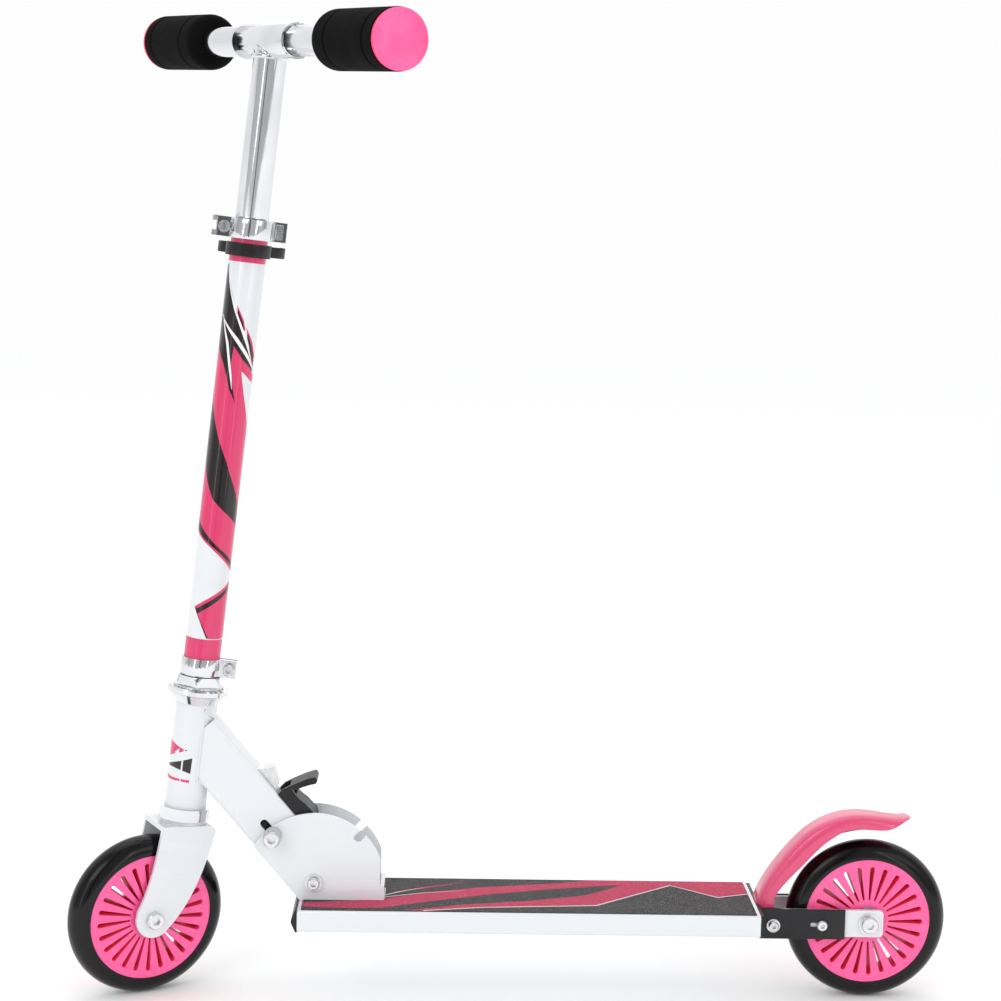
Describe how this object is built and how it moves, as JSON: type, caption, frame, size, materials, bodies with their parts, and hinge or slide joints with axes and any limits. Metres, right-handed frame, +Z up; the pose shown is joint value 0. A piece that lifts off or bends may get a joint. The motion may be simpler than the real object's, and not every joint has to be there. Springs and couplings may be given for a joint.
{
  "type": "kick scooter",
  "caption": "Folding two-wheeled kick scooter with a grip-taped deck, telescopic stem, foam grips, slotted wheels and a rear fender brake.",
  "frame": {"origin": "on the ground, at the middle of the bottom of the whole scooter's box, steering at its rest angle", "axes": "+X to the rear, +Y to the rider's right, +Z up; the rider faces -X"},
  "size_m": [0.653, 0.3608, 0.7301],
  "materials": {
    "white_paint": "gloss",
    "grip_tape": "gritty",
    "chrome": "polished",
    "steel": "zinc plated",
    "tyre": "glossy",
    "pink_hub": "gloss",
    "raspberry": "gloss",
    "black_plastic": "satin",
    "grey_plastic": "satin",
    "foam": "foam",
    "brake_rubber": "matt"
  },
  "bodies": {
    "deck_frame": {"deck": "white_paint", "grip_tape": "grip_tape", "deck_front_cap": "black_plastic", "deck_rear_cap": "black_plastic", "folding_bracket": "white_paint", "pivot_bolt": "steel", "pivot_nut": "steel", "rear_fork": "white_paint", "rear_cover": "black_plastic", "cover_screws": "steel", "brake_pivot_bolt": "steel", "brake_spring": "steel", "rear_axle_bolt": "steel", "rear_axle_nut": "steel", "rear_wheel_spacers": "steel"},
    "rear_wheel": {"rear_tyre": "tyre", "rear_hub": "pink_hub", "rear_bearings": "steel", "rear_bearing_sleeve": "steel"},
    "brake": {"brake_fender": "raspberry", "brake_pad": "brake_rubber"},
    "arm": {"head_arm": "white_paint", "upper_cup": "chrome", "lower_cup": "chrome", "headset_balls": "steel", "release_guard": "steel", "lock_spring": "steel"},
    "lock": {"lock_pin": "steel", "lock_bushes": "grey_plastic", "release_lever": "black_plastic"},
    "steering": {"fork": "white_paint", "crown_race": "steel", "upper_cone": "steel", "dust_cover": "chrome", "toothed_washer": "steel", "locknut": "chrome", "clamp_collar": "chrome", "clamp_bolt": "steel", "steering_tube": "white_paint", "handle_clip": "black_plastic", "quick_collar": "chrome", "quick_seat": "steel", "quick_bolt": "steel", "front_axle_bolt": "steel", "front_axle_nut": "steel", "front_wheel_spacers": "steel"},
    "front_wheel": {"front_tyre": "tyre", "front_hub": "pink_hub", "front_bearings": "steel", "front_bearing_sleeve": "steel"},
    "stem": {"stem_tee": "chrome"},
    "quick_lever": {"quick_lever": "chrome"},
    "left_handle": {"left_bar": "chrome", "left_grip": "foam", "left_cap": "pink_hub"},
    "right_handle": {"right_bar": "chrome", "right_grip": "foam", "right_cap": "pink_hub"},
    "left_button": {"left_button": "chrome"},
    "right_button": {"right_button": "chrome"}
  },
  "joints": [
    {"name": "fold", "type": "hinge", "parent": "deck_frame", "child": "arm", "pos_m": [-0.14758, 0, 0.0859], "axis": [0, 1, 0], "range_deg": [0, 84]},
    {"name": "lock", "type": "slide", "parent": "arm", "child": "lock", "axis": [-0.6494, 0, 0.7604], "range_m": [0, 0.01], "stiffness_N_per_m": 900, "springref_m": -0.005, "deforming": ["lock_spring"]},
    {"name": "steer", "type": "hinge", "parent": "arm", "child": "steering", "pos_m": [-0.2445, 0, 0.13969], "axis": [0.107, 0, 0.9943], "continuous": true},
    {"name": "front_wheel_spin", "type": "hinge", "parent": "steering", "child": "front_wheel", "pos_m": [-0.27263, -0.01095, 0.05993], "axis": [-0.4881, 0.8712, 0.0525], "continuous": true},
    {"name": "rear_wheel_spin", "type": "hinge", "parent": "deck_frame", "child": "rear_wheel", "pos_m": [0.26652, 0, 0.06], "axis": [0, 1, 0], "continuous": true},
    {"name": "brake", "type": "hinge", "parent": "deck_frame", "child": "brake", "pos_m": [0.19462, 0, 0.0586], "axis": [0, 1, 0], "range_deg": [0, 6], "stiffness_Nm_per_rad": 1.5, "springref_deg": -11.46, "deforming": ["brake_spring"]},
    {"name": "height", "type": "slide", "parent": "steering", "child": "stem", "axis": [0.107, 0, 0.9943], "range_m": [-0.1, 0]},
    {"name": "quick_release", "type": "hinge", "parent": "steering", "child": "quick_lever", "pos_m": [-0.21722, 0.013, 0.56748], "axis": [0.107, 0, 0.9943], "range_deg": [0, 140]},
    {"name": "left_pull", "type": "slide", "parent": "stem", "child": "left_handle", "axis": [0.4881, -0.8712, -0.0525], "range_m": [0, 0.03]},
    {"name": "right_pull", "type": "slide", "parent": "stem", "child": "right_handle", "axis": [-0.4881, 0.8712, 0.0525], "range_m": [0, 0.03]},
    {"name": "left_press", "type": "slide", "parent": "left_handle", "child": "left_button", "axis": [-0.6881, -0.3471, -0.6372], "range_m": [0, 0.003], "stiffness_N_per_m": 600, "springref_m": -0.002},
    {"name": "right_press", "type": "slide", "parent": "right_handle", "child": "right_button", "axis": [-0.6881, -0.3471, -0.6372], "range_m": [0, 0.003], "stiffness_N_per_m": 600, "springref_m": -0.002}
  ]
}
